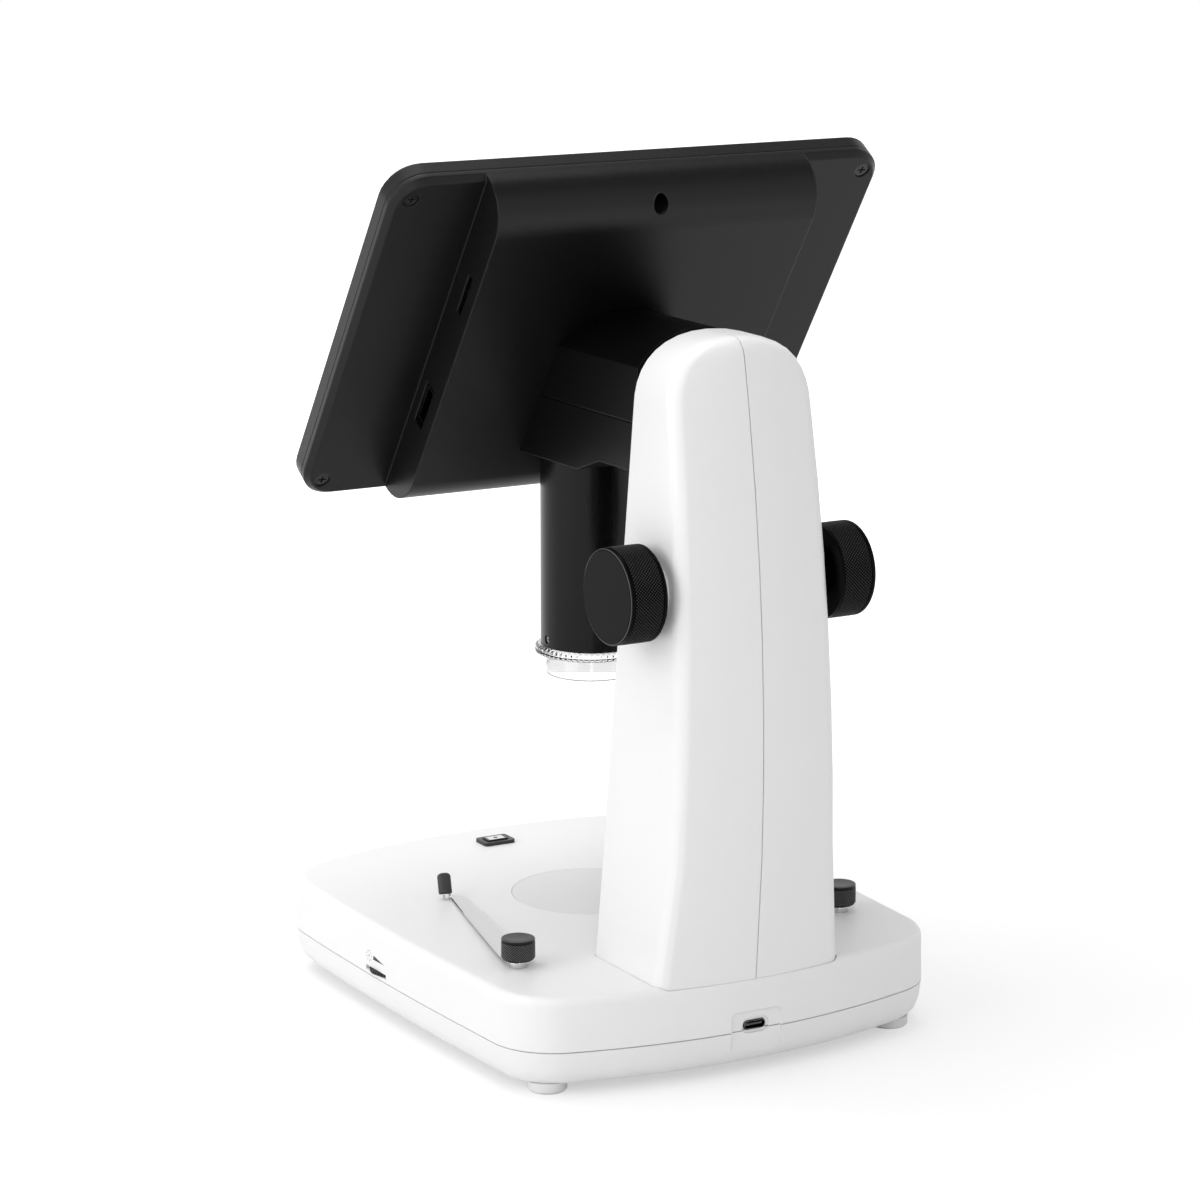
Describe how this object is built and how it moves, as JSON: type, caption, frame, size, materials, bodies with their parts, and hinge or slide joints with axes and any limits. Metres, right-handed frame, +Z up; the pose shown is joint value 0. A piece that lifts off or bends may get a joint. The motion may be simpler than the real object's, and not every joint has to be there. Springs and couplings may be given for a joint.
{
  "type": "lcd digital microscope",
  "caption": "Bench digital microscope: tilted screen and camera head focused by a rack on a white column, above a lit stage with spring clips",
  "frame": {"origin": "on the table, under the middle of the whole instrument", "axes": "+Z up, -Y toward the user and the screen face, +Y toward the column, +X toward the dimmer wheel"},
  "size_m": [0.201, 0.222, 0.3215],
  "materials": {
    "white_plastic": "satin moulded white ABS",
    "white_rubber": "soft white feet",
    "black_plastic": "fine-textured black ABS",
    "key_plastic": "satin black keys",
    "black_anodised": "black anodised, knurled where gripped",
    "steel": "plain bright steel",
    "black_steel": "blackened steel screws",
    "panel_metal": "display module in its metal frame",
    "iron": "plain ballast plate",
    "chrome": "bright plated spring steel",
    "aluminium": "machined blocks",
    "brass": "turned and cut brass",
    "black_rubber": "soft sleeve",
    "frosted_plastic": "frosted white light diffuser",
    "circuit_board": "green boards with their parts",
    "lens_glass": "ground lenses",
    "clear_plastic": "clear moulded plastic",
    "dark_glass": "smoked cover glass"
  },
  "bodies": {
    "base": {"base_upper_shell": "white_plastic", "base_lower_shell": "white_plastic", "base_feet": "white_rubber", "base_screws": "steel", "ballast_plate": "iron", "stage_disc": "frosted_plastic", "stage_light_board": "circuit_board", "power_board": "circuit_board", "usb_c_socket": "steel", "dimmer_body": "black_plastic", "light_switch_frame": "black_plastic", "clip_stud_left": "chrome", "clip_stud_right": "chrome", "column_left_shell": "white_plastic", "column_right_shell": "white_plastic", "column_screws": "steel", "column_bracket": "steel", "guide_rods": "steel", "rod_block_upper": "aluminium", "rod_block_lower": "aluminium", "shaft_bushes": "brass"},
    "head": {"focus_rack": "brass", "carriage": "black_plastic", "carriage_bushes": "brass", "head_upper_housing": "black_plastic", "head_lower_cover": "black_plastic", "head_screws": "steel", "tube_barrel": "black_anodised", "lens_barrel": "black_anodised", "lens_elements": "lens_glass", "sensor_board": "circuit_board", "ring_light_board": "circuit_board", "screen_back_cover": "black_plastic", "screen_bezel": "black_plastic", "lcd_panel": "panel_metal", "screen_glass": "dark_glass", "main_board": "circuit_board", "key_board": "circuit_board", "card_socket": "steel", "video_socket": "steel", "screen_screws": "black_steel"},
    "focus_drive": {"focus_shaft": "steel", "focus_pinion": "brass", "focus_knob_left": "black_anodised", "focus_knob_right": "black_anodised", "knob_set_screws": "steel"},
    "dimmer": {"dimmer_wheel": "black_plastic"},
    "light_switch": {"light_switch_button": "black_plastic"},
    "clip_left": {"clip_spring_left": "chrome", "clip_sleeve_left": "black_rubber"},
    "clip_right": {"clip_spring_right": "chrome", "clip_sleeve_right": "black_rubber"},
    "clip_knob_left": {"clip_screw_left": "black_anodised"},
    "clip_knob_right": {"clip_screw_right": "black_anodised"},
    "hood": {"clear_hood": "clear_plastic"},
    "menu": {"menu_key": "key_plastic"},
    "left": {"left_key": "key_plastic"},
    "ok": {"ok_key": "key_plastic"},
    "right": {"right_key": "key_plastic"},
    "power": {"power_key": "key_plastic"}
  },
  "joints": [
    {"name": "focus_slide", "type": "slide", "parent": "base", "child": "head", "axis": [0, 0, 1], "range_m": [-0.055, 0]},
    {"name": "focus_turn", "type": "hinge", "parent": "base", "child": "focus_drive", "pos_m": [0, 0.0879, 0.1759], "axis": [1, 0, 0], "range_deg": [-1, 451]},
    {"name": "dimmer_turn", "type": "hinge", "parent": "base", "child": "dimmer", "pos_m": [0.08369, -0.0115, 0.01925], "axis": [0, 0, 1], "range_deg": [0, 280]},
    {"name": "light_switch_press", "type": "slide", "parent": "base", "child": "light_switch", "axis": [0, 0, -1], "range_m": [0, 0.0008], "stiffness_N_per_m": 800, "springref_m": -0.0004},
    {"name": "clip_swing_left", "type": "hinge", "parent": "base", "child": "clip_left", "pos_m": [0.0682, 0.056, 0.0375], "axis": [0, 0, 1], "range_deg": [-28, 12]},
    {"name": "clip_swing_right", "type": "hinge", "parent": "base", "child": "clip_right", "pos_m": [-0.0682, 0.056, 0.0375], "axis": [0, 0, 1], "range_deg": [-12, 28]},
    {"name": "clip_screw_turn_left", "type": "hinge", "parent": "base", "child": "clip_knob_left", "pos_m": [0.0682, 0.056, 0.043], "axis": [0, 0, 1], "range_deg": [0, 360]},
    {"name": "clip_screw_turn_right", "type": "hinge", "parent": "base", "child": "clip_knob_right", "pos_m": [-0.0682, 0.056, 0.043], "axis": [0, 0, 1], "range_deg": [0, 360]},
    {"name": "hood_twist", "type": "hinge", "parent": "head", "child": "hood", "pos_m": [0, -0.012, 0.132], "axis": [0, 0, 1], "range_deg": [0, 45]},
    {"name": "menu_key_press", "type": "slide", "parent": "head", "child": "menu", "axis": [0, 0.8281, -0.5606], "range_m": [0, 0.0008], "stiffness_N_per_m": 800, "springref_m": -0.0004},
    {"name": "left_key_press", "type": "slide", "parent": "head", "child": "left", "axis": [0, 0.8281, -0.5606], "range_m": [0, 0.0008], "stiffness_N_per_m": 800, "springref_m": -0.0004},
    {"name": "ok_key_press", "type": "slide", "parent": "head", "child": "ok", "axis": [0, 0.8281, -0.5606], "range_m": [0, 0.0008], "stiffness_N_per_m": 800, "springref_m": -0.0004},
    {"name": "right_key_press", "type": "slide", "parent": "head", "child": "right", "axis": [0, 0.8281, -0.5606], "range_m": [0, 0.0008], "stiffness_N_per_m": 800, "springref_m": -0.0004},
    {"name": "power_key_press", "type": "slide", "parent": "head", "child": "power", "axis": [0, 0.8281, -0.5606], "range_m": [0, 0.0008], "stiffness_N_per_m": 800, "springref_m": -0.0004}
  ],
  "couplings": [
    {"joint": "focus_turn", "follows": "focus_slide", "rad_per_m": -142.86}
  ]
}
